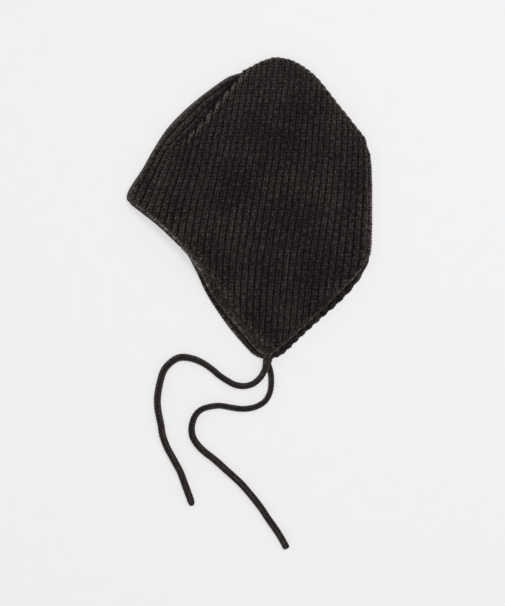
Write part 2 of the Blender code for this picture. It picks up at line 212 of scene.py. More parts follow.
# Lines that the ribs follow: how many ribs it is from the front, and where it stands at each height GUIDE_Y.
GUIDES = (
    (0.0, (-72, -96, -109, -102.5, -84.5, -74, -58)),
    (3.1, (-60, -76, -86, -80, -67, -55, -40)),
    (8.8, (-34, -44, -46.5, -40, -30, -19.5, -9)),
    (14.7, (-8, -10.5, -7, 0, 7.5, 16, 23.5)),
    (20.7, (25, 28, 33, 40, 46, 51, 56.5)),
    (27.0, (62, 67, 73.5, 80, 84.5, 87.5, 91.5)),
    (LAST_RIB, (104, 112, 120.5, 123, 122.3, 122.5, 126)),
)
GUIDE_U = np.array([u for u, _ in GUIDES])
GUIDE_X = np.array([x for _, x in GUIDES], float)
MIDDLE_Y = 20.0  # every rib crosses this height
LONGEST = 185  # no rib goes on further than this to either side of MIDDLE_Y
LEFT_SIDE = np.array([(-110, -47), (-108, -20), *panel_line[1:-1].tolist(), (-77, 57), (-74, 90),
                      (-66, 120)])
RIGHT_SIDE = np.array([(104, -140), (115.5, -80), (119, -60),
                       *[tuple(p) for p in crown_back[::-1] if p[1] < 54],
                       (121.5, 75), (124, 110), (127, 150)])


def hermite(t, h, a, b, ma, mb):
    """The cubic at the share t of a span h wide, from a to b, with the slopes ma and mb."""
    return ((2 * t ** 3 - 3 * t ** 2 + 1) * a + (t ** 3 - 2 * t ** 2 + t) * h * ma
            + (3 * t ** 2 - 2 * t ** 3) * b + (t ** 3 - t ** 2) * h * mb)


def guide_span(y):
    """The guide height below each y, the distance from it to the next one, and y's share of that."""
    j = np.clip(np.searchsorted(GUIDE_Y, y, side="right") - 1, 0, len(GUIDE_Y) - 2)
    h = GUIDE_Y[j + 1] - GUIDE_Y[j]
    return j, h, (y - GUIDE_Y[j]) / h


def line_x(k, y):
    """Where the guide number k stands at the heights y."""
    j, h, t = guide_span(y)
    m = np.gradient(GUIDE_X[k], GUIDE_Y)
    return hermite(t, h, GUIDE_X[k][j], GUIDE_X[k][j + 1], m[j], m[j + 1])


def rib_x(u, y):
    """Where the rib lines u, one for each row of y, stand at the heights y."""
    i = np.clip(np.searchsorted(GUIDE_U, u, side="right") - 1, 0, len(GUIDE_U) - 2)
    h = (GUIDE_U[i + 1] - GUIDE_U[i])[:, None]
    m = np.gradient(GUIDE_X, GUIDE_U, axis=0)
    table = hermite((u - GUIDE_U[i])[:, None] / h, h, GUIDE_X[i], GUIDE_X[i + 1], m[i], m[i + 1])
    m = np.gradient(table, GUIDE_Y, axis=1)
    j, h, t = guide_span(y)
    x = hermite(t, h, *(np.take_along_axis(a, k, axis=1) for a in (table, m) for k in (j, j + 1)))
    first, last = np.clip(1 - u, 0, 1)[:, None], np.clip(u - LAST_RIB + 1, 0, 1)[:, None]
    return (x + first * (np.interp(y, LEFT_SIDE[:, 1], LEFT_SIDE[:, 0]) - line_x(0, y))
            + last * (np.interp(y, RIGHT_SIDE[:, 1], RIGHT_SIDE[:, 0]) - line_x(-1, y)))


def inside(points, polygon):
    """Which points lie inside the polygon in plan."""
    x, y = points[..., 0], points[..., 1]
    found = np.zeros(x.shape, bool)
    for (ax, ay), (bx, by) in zip(polygon, np.roll(polygon, -1, 0)):
        if ay != by:
            found ^= ((ay > y) != (by > y)) & (x < (bx - ax) * (y - ay) / (by - ay) + ax)
    return found


def rib_ends(u, polygon):
    """The heights between which each rib line lies inside the polygon."""
    off_the_side = 0.04  # the outermost lines run along the polygon itself
    u = np.clip(u, off_the_side, LAST_RIB - off_the_side)

    def is_in(y):
        return inside(np.stack([rib_x(u, y), y], -1), polygon)

    found = []
    for way in (-1, 1):
        y = MIDDLE_Y + way * np.arange(0, LONGEST, 1.0)
        y = np.broadcast_to(y, (len(u), len(y)))
        out = np.argmin(is_in(y), axis=1)
        low, high = MIDDLE_Y + way * (out - 1.0), MIDDLE_Y + way * out.astype(float)
        for _ in range(14):
            half = (low + high) / 2
            good = is_in(half[:, None])[:, 0]
            low, high = np.where(good, half, low), np.where(good, high, half)
        found.append(low)
    return found


def rib_at(points):
    """Which rib line runs through each plan position."""
    u = np.linspace(0, LAST_RIB, 220)
    x = rib_x(u, np.broadcast_to(points[:, 1], (len(u), len(points))))
    return np.array([np.interp(p[0], x[:, k], u) for k, p in enumerate(points)])


INSIDE_POINT = np.array((20.0, 0.0))  # well inside the hat's outline


def plan_normals(line):
    """Unit normals in plan at each point of a line along the outline, pointing into the hat."""
    d = np.gradient(line, axis=0)
    n = unit(np.stack([-d[:, 1], d[:, 0]], 1))
    flip = ((INSIDE_POINT - line) * n).sum(1) < 0
    n[flip] *= -1
    return n


def inset(line, width):
    """The line moved into the hat by a width, or by one for each point."""
    return line + plan_normals(line) * np.reshape(width, (-1, 1))


# A rib across: places from 0 to 1, valley to valley, and how far below its crest the face is, in depths.
PROFILE_T = (0, 0.11, 0.2, 0.31, 0.4, 0.5, 0.6, 0.69, 0.8, 0.89, 1)
PROFILE_D = (-1, -0.86, -0.42, 0.0, -0.06, -0.2, -0.06, 0.0, -0.42, -0.86, -1)
RIB_DEPTH = 2.0
STITCH = 0.24  # how far the stitches stand out
HIGHEST = 2.5  # the most that a point's height can be, in the chain of stitches with the strongest painted highlight
LUMPS, WAVES = 0.16, 0.3  # how uneven the face is from stitch to stitch, and over a few ribs


def relief(u, along, depth=RIB_DEPTH):
    """How far the knit's face stands in from its crest, and how high that is from 0, valley, to 1, which
    sets the painted shade in the valleys.
    """
    t = u - np.floor(u)
    shape = np.interp(t, PROFILE_T, PROFILE_D)
    leg = np.abs(t - 0.5)
    beat = np.cos(math.tau * (along / COURSE + SLANT * leg))
    lumps = noise(u * 2.0 + 5, along / COURSE) * LUMPS + noise(u * 0.35 + 31, along / 19) * WAVES
    return shape * depth + (beat * STITCH + lumps) * (1 + 0.8 * shape), 1 + shape


# ---------------------------------------------------------------- meshes


# Lines near which the knit gets painted light, standing in for the side light that its edges catch: how much
# paler it is, and over what distance that fades.
PAINTED_EDGE_LIGHT_LINES = ((front_fold, 0.55, 14), (front_fold[:7], 0.35, 12), (brim, 0.75, 16),
              (flap_front["left"], 0.2, 14), (np.vstack([crown_back[-30:], flap_back["left"][1:]]), 0.3, 30),
              (crown_front, 0.15, 12))


def painted_edge_light(plan):
    """How much painted light brightens the knit near its edges, against the middle. The cords get none and
    are as dark as the middle.
    """
    paler = np.zeros(len(plan))
    for line, much, reach in PAINTED_EDGE_LIGHT_LINES:
        paler += much * np.exp(-np.abs(nearest(plan, line)[0]) / reach)
    return 1 + paler * (plan[:, 1] > FLAP_TIP_Y)


UV_SCALE = 100  # mm for one unit of the material's coordinates


def add_mesh(name, points, faces, corner_uv, height, material, flat=()):
    """A mesh object from points in mm. corner_uv is in mm too, one for each face corner in turn.

    height is 0 in a valley of the knit, 1 on a crest, and more where a chain of stitches shines; the
    material paints shade from it in the valleys and a highlight on the chains.
    """
    mesh = bpy.data.meshes.new(name)
    mesh.from_pydata((points * MM).tolist(), [], faces)
    smooth = np.ones(len(faces), bool)
    smooth[list(flat)] = False
    mesh.polygons.foreach_set("use_smooth", smooth)
    layer = mesh.uv_layers.new(name="knit")
    layer.data.foreach_set("uv", (corner_uv / UV_SCALE).astype(np.float32).ravel())
    # The second attribute is painted light near the knit's edges.
    for key, values in (("height", height), ("painted_edge_light", painted_edge_light(points[:, :2]))):
        mesh.attributes.new(key, "FLOAT", "POINT").data.foreach_set("value", values.astype(np.float32))
    mesh.materials.append(material)
    made = bpy.data.objects.new(name, mesh)
    bpy.context.scene.collection.objects.link(made)
    return made


def solid_grid(name, outer, inner, step, uv, height, material, flip=False):
    """A closed solid between a fine outer grid and a coarser inner one.

    step is how many cells of the outer grid one of the inner grid's takes up, each way.
    """
    n, m = outer.shape[:2]
    index = np.arange(n * m).reshape(n, m)
    ni, mi = inner.shape[:2]
    behind = n * m + np.arange(ni * mi).reshape(ni, mi)
    front = (index[:-1, :-1], index[1:, :-1], index[1:, 1:], index[:-1, 1:])
    back = (behind[:-1, :-1], behind[:-1, 1:], behind[1:, 1:], behind[1:, :-1])
    faces = [face for corners in (front, back) for face in np.stack(corners, -1).reshape(-1, 4).tolist()]
    smooth = len(faces)
    a, b = step
    for k in range(ni - 1):
        fine = index[k * a:(k + 1) * a + 1]
        faces.append([*fine[::-1, 0].tolist(), int(behind[k, 0]), int(behind[k + 1, 0])])
        faces.append([*fine[:, -1].tolist(), int(behind[k + 1, -1]), int(behind[k, -1])])
    for k in range(mi - 1):
        fine = index[:, k * b:(k + 1) * b + 1]
        faces.append([*fine[0].tolist(), int(behind[0, k + 1]), int(behind[0, k])])
        faces.append([*fine[-1, ::-1].tolist(), int(behind[-1, k]), int(behind[-1, k + 1])])
    if flip:
        faces = [f[::-1] for f in faces]
    points = np.vstack([outer.reshape(-1, 3), inner.reshape(-1, 3)])
    point_uv = np.vstack([uv.reshape(-1, 2), uv[::a, ::b].reshape(-1, 2)])
    # The inner face gets painted shade in its valleys too.
    inner_height = 0.45 - 0.45 * np.cos(math.tau * uv[::a, ::b, 0] / PITCH)
    heights = np.concatenate([height.ravel(), inner_height.ravel()])
    corners = np.concatenate(faces)
    return add_mesh(name, points, faces, point_uv[corners], heights, material, range(smooth, len(faces)))


def tube(name, rings, along, around, height, material):
    """A closed tube from rings of points.

    along is each ring's place in the knit's pattern, and around the place of each point of a ring.
    """
    n, m = rings.shape[:2]
    index = np.arange(n * m).reshape(n, m)
    after = np.roll(index, -1, axis=1)
    quads = np.stack([index[:-1], after[:-1], after[1:], index[1:]], -1).reshape(-1, 4)
    wide = np.append(around, around[-1] + (around[1] - around[0]))
    u0, u1, v0, v1 = wide[:-1], wide[1:], along[:-1, None], along[1:, None]
    corners = ((u0, v0), (u1, v0), (u1, v1), (u0, v1))
    uv = np.stack([np.stack(np.broadcast_arrays(u, v), -1) for u, v in corners], 2)
    faces = quads.tolist() + [index[0, ::-1].tolist(), index[-1].tolist()]
    caps = np.vstack([np.stack([around[::-1], np.full(m, along[0])], 1),
                      np.stack([around, np.full(m, along[-1])], 1)])
    points = rings.reshape(-1, 3)
    tri = points[quads[:, :3]] - points.mean(0)
    volume = np.einsum("ij,ij->i", tri[:, 0], np.cross(tri[:, 1], tri[:, 2])).sum()
    corner_uv = np.vstack([uv.reshape(-1, 2), caps])
    if volume < 0:
        faces = [f[::-1] for f in faces]
        corner_uv = np.vstack([uv.reshape(-1, 4, 2)[:, ::-1].reshape(-1, 2), caps[:m][::-1], caps[m:][::-1]])
    return add_mesh(name, points, faces, corner_uv, height.ravel(), material)


# ---------------------------------------------------------------- materials


def nodes_of(name):
    """A new material, its node tree and its shader."""
    made = bpy.data.materials.new(name)
    made.use_nodes = True
    tree = made.node_tree
    return made, tree, tree.nodes["Principled BSDF"]


class Graph:
    """A short way to write a shader's nodes."""

    def __init__(self, tree):
        self.tree = tree

    def node(self, kind, inputs=(), **settings):
        made = self.tree.nodes.new(kind)
        for key, value in settings.items():
            setattr(made, key, value)
        for key, value in dict(inputs).items():
            if isinstance(value, bpy.types.NodeSocket):
                self.tree.links.new(value, made.inputs[key])
            else:
                made.inputs[key].default_value = value
        return made

    def math(self, operation, a, b=0.0, c=0.0):
        return self.node("ShaderNodeMath", {0: a, 1: b, 2: c}, operation=operation).outputs[0]

    def scaled(self, vector, scale, shift=(0, 0, 0)):
        return self.node("ShaderNodeVectorMath", {0: vector, 1: scale, 2: shift},
                         operation="MULTIPLY_ADD").outputs[0]

    def noise(self, vector, detail=2.0, roughness=0.5):
        return self.node("ShaderNodeTexNoise", {"Vector": vector, "Scale": 1.0, "Detail": detail,
                                                "Roughness": roughness}).outputs["Fac"]

    def between(self, value, low, high, to_low=0.0, to_high=1.0):
        return self.node("ShaderNodeMapRange", {0: value, 1: low, 2: high, 3: to_low, 4: to_high},
                         clamp=True).outputs[0]

    def mix(self, share, a, b, how="MIX"):
        return self.node("ShaderNodeMix", {0: share, 6: a, 7: b}, data_type="RGBA",
                         blend_type=how).outputs[2]


DARK = (0.0020, 0.0014, 0.0012, 1)
MID = (0.0134, 0.0099, 0.0091, 1)
LIGHT = (0.069, 0.0565, 0.053, 1)
FLECK = (0.200, 0.182, 0.174, 1)
DARK_AT, MID_AT, LIGHT_AT = 0.39, 0.5, 0.63  # where those come in the mix of plies and yarn

# How fine each pattern of the yarn is: repeats for each mm across and along the rib
PLIES, YARN, BROAD = (0.42, 0.24, 0), (1.5, 0.75, 0), (0.028, 0.022, 0)
FLECKS, FIBRES = (1.15, 0.6, 0), (3.4, 2.0, 0)
LEG_GROOVE = 0.12  # half the width of the painted shade in the groove between a stitch's two legs, in ribs
CHAIN_GLOW = 3.3  # how much paler than a crest the painted highlight makes the palest chain of stitches


def knit_material(name, pitch=PITCH, course=COURSE, tone=1.0, valley=0.10, sheen=0.35, legs=0.3,
                  melange=1.0):
    """Charcoal melange yarn: mottled plies, light flecks, painted shade in the valleys and stitch grooves,
    painted highlight on the chains, slanted stitch legs and fine fibres.

    tone is how pale a crest is, and valley a valley's share of that, as painted shade. legs is how dark the
    painted shade is in the lines between the stitches and their legs, and melange how mottled the yarn is.
    """
    made, tree, shader = nodes_of(name)
    g = Graph(tree)
    place = g.scaled(g.node("ShaderNodeUVMap", uv_map="knit").outputs[0], (UV_SCALE, UV_SCALE, 0))
    plies = g.noise(g.scaled(place, PLIES, (3, 7, 0)), 3.0, 0.62)
    yarn = g.noise(g.scaled(place, YARN, (11, 2, 0)), 3.0, 0.6)
    broad = g.noise(g.scaled(place, BROAD, (1, 5, 0)), 2.0, 0.5)
    blend = g.math("MULTIPLY_ADD", plies, 0.5, g.math("MULTIPLY", yarn, 0.5))
    blend = g.math("MULTIPLY_ADD", g.math("SUBTRACT", broad, 0.5), 0.18, blend)
    blend = g.math("MULTIPLY_ADD", g.math("SUBTRACT", blend, 0.5), melange, 0.5)
    ramp = g.node("ShaderNodeValToRGB", {0: blend})
    stops = ramp.color_ramp.elements
    stops[0].position, stops[0].color = DARK_AT, DARK
    stops[1].position, stops[1].color = LIGHT_AT, LIGHT
    middle = stops.new(MID_AT)
    middle.color = MID
    flecks = g.between(g.noise(g.scaled(place, FLECKS, (40, 23, 0)), 2.5, 0.6), 0.60, 0.74)
    colour = g.mix(g.math("MULTIPLY", flecks, 0.55 * melange), ramp.outputs[0], FLECK)
    height = g.node("ShaderNodeAttribute", attribute_name="height").outputs["Fac"]
    # Painted shade in the valleys and painted highlight on the chains of stitches, from the height
    # attribute.
    depth = g.math("ADD", g.between(height, 0.0, 1.0, valley * tone, tone),
                   g.between(height, 1.0, HIGHEST, 0.0, CHAIN_GLOW * tone))
    # Painted light near the knit's edges, from its attribute.
    depth = g.math("MULTIPLY", depth, g.node("ShaderNodeAttribute", attribute_name="painted_edge_light").outputs["Fac"])
    split = g.node("ShaderNodeSeparateXYZ", {0: place})
    across = g.math("FRACT", g.math("DIVIDE", split.outputs[0], pitch))
    leg = g.math("ABSOLUTE", g.math("SUBTRACT", across, 0.5))
    beat = g.math("MULTIPLY_ADD", leg, SLANT, g.math("DIVIDE", split.outputs[1], course))
    beat = g.math("MULTIPLY_ADD", g.math("SUBTRACT", yarn, 0.5), 0.35, beat)
    stitch = g.math("COSINE", g.math("MULTIPLY", beat, math.tau))
    # Painted shade in the groove between a stitch's two legs and between the stitches.
    depth = g.math("MULTIPLY", depth, g.between(leg, 0.0, LEG_GROOVE, 1 - legs, 1.0))
    depth = g.math("MULTIPLY", depth, g.between(stitch, -1.0, 0.3, 1 - legs, 1.0))
    shade = g.node("ShaderNodeCombineColor", {0: depth, 1: depth, 2: depth}).outputs[0]
    colour = g.mix(1.0, colour, shade, "MULTIPLY")
    tree.links.new(colour, shader.inputs["Base Color"])
    shader.inputs["Roughness"].default_value = 0.95
    shader.inputs["Specular IOR Level"].default_value = 0.12
    shader.inputs["Sheen Weight"].default_value = sheen
    shader.inputs["Sheen Roughness"].default_value = 0.35
    shader.inputs["Sheen Tint"].default_value = (1.0, 0.95, 0.92, 1)

    fibre = g.noise(g.scaled(place, FIBRES), 4.0, 0.7)
    bumps = g.math("MULTIPLY_ADD", stitch, 0.45, g.math("MULTIPLY", fibre, 1.2))
    bump = g.node("ShaderNodeBump", {"Height": bumps, "Distance": 0.0006, "Strength": 0.75})
    tree.links.new(bump.outputs[0], shader.inputs["Normal"])
    return made


rib_knit = knit_material("rib_knit", tone=1.2, valley=0.13, legs=0.42)
edge_knit = knit_material("edge_knit", pitch=3.0, course=2.6, tone=1.25, valley=0.4, sheen=0.15)
cord_knit = knit_material("cord_knit", pitch=3.6, course=3.0, tone=2.3, valley=0.3, sheen=0.2, melange=0.45)
seam_thread = knit_material("seam_thread", pitch=2.0, course=2.0, tone=0.9)
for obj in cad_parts.values():
    obj.data.materials.clear()
    obj.data.materials.append(seam_thread)

# ---------------------------------------------------------------- knit walls


BACK_TRIM = 2.5  # width of a flap's back rim
LOWEST = 0.0  # the surface that the hat lies on
OVERLAP = 1.0  # how far the knit goes on under its rolled edges
DART_Y = (56, 72)  # the ribs' ends stand proud beside the dart from the first up, fully from the second
CROWN_Y = (54, 72)  # the ribs run into the closed edge at a slant from the first up, fully from the second
FLAP_Y = (-36, -48)  # the flap's band begins at the first and is whole from the second down


def brim_width(share):
    """The width of the rim round the face opening, from its front corner, 0, to the flap, 1."""
    return 4.8 + 0.4 * smoothstep(share, 0.7, 1.0)


def band_width(share):
    """The width of the band along a flap's front edge, which is widest halfway."""
    return 6.5 - 1.5 * np.abs(2 * share - 1)


def shares(line):
    """Each point's place along the line, from 0 to 1."""
    return np.linspace(0, 1, len(line))


def knit_wall(side, rows):
    """A side panel and its ear flap, knitted in one: every rib runs from the lower edge to the crown."""
    left = side == "left"
    lower = inset(brim, brim_width(shares(brim)) - OVERLAP)
    front = inset(flap_front[side], band_width(shares(flap_front[side])) - OVERLAP)
    back = inset(flap_back[side], BACK_TRIM - OVERLAP)
    lower = lower[lower[:, 0] > -104.5]
    polygon = np.vstack([panel_line, dart[1:], crown_front[crown_front[:, 0] > -6.5], crown_back, back[1:],
                         front[::-1], lower[::-1]])
    u = np.array([rib + t for rib in range(math.ceil(LAST_RIB)) for t in COLUMNS])
    u = u[u <= LAST_RIB]
    low, high = rib_ends(u, polygon)
    y = low[:, None] + (high - low)[:, None] * np.linspace(0, 1, rows + 1)
    taper = np.clip(np.minimum(u, LAST_RIB - u), 0, 1)[:, None]
    x = rib_x(u, y) + taper * 0.4 * noise(u[:, None] / 1.7, y / 24)
    plan = np.stack([x, y], -1).reshape(-1, 2)
    outer, inner, normal, reach = wall(plan, left)
    lines = np.broadcast_to(u[:, None], y.shape).ravel()
    push, height = relief(lines, plan[:, 1])

    # The valleys get shallow where the ribs run over the crown's fold.
    over_fold = smoothstep(plan[:, 1], *CROWN_Y) * (1 - smoothstep(reach, 3.0, 10.0))
    push -= 0.72 * over_fold * np.minimum(push, 0)

    # Beside the dart each rib ends in a raised tip with a painted highlight, and the edge between the tips
    # turns down, with painted shade on it.
    to_dart = nearest(plan, dart)[0]
    ledge = smoothstep(plan[:, 1], *DART_Y)
    notch = to_dart - 0.9 - 3.4 * (1 - height)
    push += ledge * 1.2 * (1 - smoothstep(to_dart, 1.5, 10.0))
    edge = 1 - np.sqrt(np.clip(1 - (1 - np.clip(notch, 0, 1.5) / 1.5) ** 2, 0, 1))
    push -= (0.25 + ledge) * 2.7 * edge * (0.15 + 0.85 * smoothstep(reach, 1, 8))
    height = height + ledge * (1.25 * (1 - smoothstep(to_dart, 2.0, 8.0)) * height - 1.6 * edge)

    # Along the flap's band the knit dips into a line of painted shade, with a pale stretch behind it.
    to_band = np.abs(nearest(plan, front)[0])
    on_flap = smoothstep(plan[:, 1], *FLAP_Y)
    push -= 1.9 * (1 - smoothstep(to_band, 0.6, 3.4)) * on_flap
    height = height - 0.6 * (1 - smoothstep(to_band, 0.6, 3.0)) * on_flap
    height = height + 0.45 * smoothstep(to_band, 1.6, 3.2) * (1 - smoothstep(to_band, 4.0, 11.0)) * on_flap

    # The closed edge: full at the fold, with a painted highlight along it, and a groove beside it at the
    # back of the crown.
    push += np.where(plan[:, 1] < CROWN_Y[0], 0.75, -0.1) * np.exp(-(reach / 2.0) ** 2)
    height = height + 0.6 * np.exp(-((reach - 4.5) / 4.0) ** 2)
    groove = np.exp(-((reach - 7.5) / 1.1) ** 2)
    push -= 0.5 * groove * smoothstep(plan[:, 1], 58, 72) * smoothstep(plan[:, 0], 30, 46)

    # The upper wall dips and swells softly, and the lower one lies flat.
    if left:
        push += 0.5 * noise(plan[:, 0] / 38 + 3, plan[:, 1] / 47 + 9) * smoothstep(reach, 8, 20)
    else:
        push -= 0.3
    outer = outer + normal * push[:, None]
    outer[:, 2] = np.maximum(outer[:, 2], LOWEST)
    t = lines - np.floor(lines)
    inner = inner - normal * ((0.45 if left else 0.75) * np.cos(math.tau * t) + 0.05)[:, None]
    shape = (*y.shape, 3)
    uv = np.stack([lines * PITCH, plan[:, 1]], -1).reshape(*y.shape, 2)
    made = solid_grid(f"{side}_side_knit", outer.reshape(shape), inner.reshape(shape)[::3, ::2], (3, 2), uv,
                      np.clip(height, 0, HIGHEST).reshape(y.shape), rib_knit, flip=not left)
    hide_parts(f"{side}_side_panel", f"{side}_ear_flap")
    return made, polygon


def bend_at_fold(piece):
    """The piece's transform, baked into its mesh."""
    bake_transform(piece)


left_knit, left_polygon = knit_wall("left", 326)
right_knit, right_polygon = knit_wall("right", 220)

# ---------------------------------------------------------------- front panel

FRONT_RIBS = (-3, 4)  # the whole ribs, counted round the fold, which is at 0.5
HALF_RIBS = 3.5  # ribs from the fold to either side of the panel
FRONT_COLUMNS = (0.0, 0.09, 0.2, 0.32, 0.5, 0.68, 0.8, 0.91)
FRONT_ROWS = 210
FRONT_START = 1.6  # how far along the fold the ribs start, just inside the rim
CORNER_ANGLE = math.radians(-38)  # the way across the ribs at the opening's corner
CORNER_REACH = 46  # how far along the fold that way eases into the fold's own
ARC = FOLD * math.pi / 2  # how far it is along the knit from the fold's outermost line to its top
WIDER = 1.3  # how much wider the first rib is than the others


def plan_reach(s):
    """How far in plan from the fold a point is that lies s along the knit from it."""
    s = np.abs(s)
    return np.where(s < ARC, FOLD * (1 - np.cos(np.minimum(s, ARC) / FOLD)), FOLD + s - ARC)


def smoothed(values, half):
    """The values, each one the mean of those up to half a window away."""
    return np.convolve(np.pad(values, half, mode="edge"), np.ones(2 * half + 1) / (2 * half + 1), "valid")


def widths_across(fold, way, side_line):
    """How far it is from each point of the fold, that point's way across, to the panel's side."""
    width = []
    for p, w in zip(fold, way):
        gap = side_line - p
        side = gap[:, 0] * w[1] - gap[:, 1] * w[0]
        cross = np.nonzero(np.diff(np.sign(side)))[0]
        if len(cross):
            k = cross[0]
            f = side[k] / (side[k] - side[k + 1])
            width.append(float(((gap[k] + (gap[k + 1] - gap[k]) * f) * w).sum()))
        else:
            width.append(width[-1] if width else 20.7)
    return np.array(width)


def front_panel():
    """The strip over the forehead: its ribs run along the fold, round it and end one by one at the darts."""
    fold = evenly(np.vstack([front_fold, crown_front[1:][crown_front[1:, 0] < -6]]), 1.0)
    q = np.concatenate([[0], np.linalg.norm(np.diff(fold, axis=0), axis=1).cumsum()])
    d = unit(np.gradient(fold, axis=0))
    ease = smoothstep(q, 0, CORNER_REACH)
    angle = CORNER_ANGLE * (1 - ease) + smoothed(np.arctan2(-d[:, 0], d[:, 1]), 6) * ease
    way = np.stack([np.cos(angle), np.sin(angle)], 1)
    side_line = np.vstack([panel_line, dart[1:]])
    width = widths_across(fold, way, side_line)
    pitch = smoothed(np.maximum((ARC + width - FOLD - WIDER) / HALF_RIBS, 5.6), 4)

    def plan_at(s_share, at):
        """Plan positions for rib lines (measured in ribs from the fold) at places along the fold."""
        base = np.stack([np.interp(at, q, fold[:, k]) for k in (0, 1)], -1)
        turn = np.interp(at, q, angle)
        reach = plan_reach(s_share * np.interp(at, q, pitch) + WIDER * smoothstep(s_share, 0.4, 1.5))
        return base + np.stack([np.cos(turn), np.sin(turn)], -1) * reach[..., None]

    polygon = np.vstack([fold, dart[::-1], panel_line[::-1][1:]])
    u = np.array([FRONT_RIBS[0] - 0.35, FRONT_RIBS[0] - 0.12]
                 + [rib + t for rib in range(*FRONT_RIBS) for t in FRONT_COLUMNS]
                 + [FRONT_RIBS[1], FRONT_RIBS[1] + 0.12, FRONT_RIBS[1] + 0.35], float)
    from_fold = np.clip(np.abs(u - 0.5), 0.12, 3.46)  # just inside the panel's sides
    at = np.arange(2.0, q[-1], 1.0)
    grid = np.broadcast_to(at, (len(u), len(at)))
    within = inside(plan_at(from_fold[:, None], grid), polygon)
    within[:, :8] = True
    last = np.where(within.all(1), len(at), np.argmin(within, axis=1))
    end = np.minimum(5.0 + last + 3.0 * smoothstep(from_fold, 0.6, 1.2), q[-1] - 0.05)
    places = FRONT_START + (end - FRONT_START)[:, None] * np.linspace(0, 1, FRONT_ROWS + 1)
    plan = plan_at(np.abs(u - 0.5)[:, None], places).reshape(-1, 2)
    lines = np.broadcast_to(u[:, None], places.shape).ravel()
    on_left = lines >= 0.5
    outer, inner, normal, _ = wall(plan, True)
    other = wall(plan, False)
    outer, inner, normal = (np.where(on_left[:, None], a, b) for a, b in zip((outer, inner, normal), other))
    at_fold = np.abs(lines - 0.5) < 1e-6
    normal[at_fold, 2] = 0
    normal = unit(normal)

    # The ribs are flatter at the fold's outermost line, with a painted highlight along it.
    push, height = relief(lines, places.ravel(), 1.7)
    at_edge = np.exp(-((lines - 0.5) / 1.0) ** 2)
    push -= push * 0.7 * at_edge
    height = height + (1.3 - 0.9 * height) * at_edge

    # Beside the dart the panel dips into a line of painted shade, and past it it goes on under the side
    # panel.
    to_dart = nearest(plan, dart)[0]
    beyond = inside(plan, left_polygon)
    to_side = np.abs(nearest(plan, side_line)[0])
    gap = np.where(beyond, 0, np.abs(to_dart))
    near = smoothstep(plan[:, 1], *DART_Y) * smoothstep(np.abs(lines - 0.5), 0.4, 1.8)
    push -= near * 2.8 * (1 - smoothstep(gap, 0, 6.0))
    push -= np.where(beyond, 2.6 * smoothstep(to_side, 0.0, 1.4), 0)
    height = height - 0.9 * near * (1 - smoothstep(gap, 0.5, 5.0))
    push = np.where(lines < 0.5, push - 0.2, push) - 0.4
    outer = outer + normal * push[:, None]
    outer[:, 2] = np.maximum(outer[:, 2], LOWEST)
    shape = (*places.shape, 3)
    uv = np.stack([lines * PITCH + 400, places.ravel()], -1).reshape(*places.shape, 2)
    made = solid_grid("front_knit", outer.reshape(shape), inner.reshape(shape)[::4, ::2], (4, 2), uv,
                      np.clip(height, 0, HIGHEST).reshape(places.shape), rib_knit)
    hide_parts("front_panel")
    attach(made, "cap")
    return made


front_knit = front_panel()

# ---------------------------------------------------------------- rolled edges

EDGE_SIDES = 20
RING_STEP = 0.8  # distance from one ring of the mesh to the next
CHAIN_PITCH = 3.2  # length of a stitch in the chain along an edge
CHAIN_SPREAD = 0.55  # half the chain's width round the edge, in radians
GROOVE_SPREAD = 0.34  # half the groove's width round the edge, in radians
EDGE_OUT = 0.7  # how far the rim and the bands stand out past the lines at the top
CORNER_OUT = unit(np.array([-0.62, -0.79, 0.0]))  # the way out of the knit at the opening's front corner


def brim_width_at(y):
    """The rim's width at a height of its line."""
    return brim_width(np.interp(y, brim[::-1, 1], shares(brim)[::-1]))


def edge_path(line, width, left):
    """The middle of a rolled edge along an open edge of the wall, the way out of the knit, and its width."""
    n = plan_normals(line)
    outer, inner, _, _ = wall(line + n * (np.reshape(width, (-1, 1)) / 2 + 0.5), left)
    out = np.concatenate([-n, np.zeros((len(n), 1))], 1)
    return (outer + inner) / 2, out, np.broadcast_to(width, len(line))


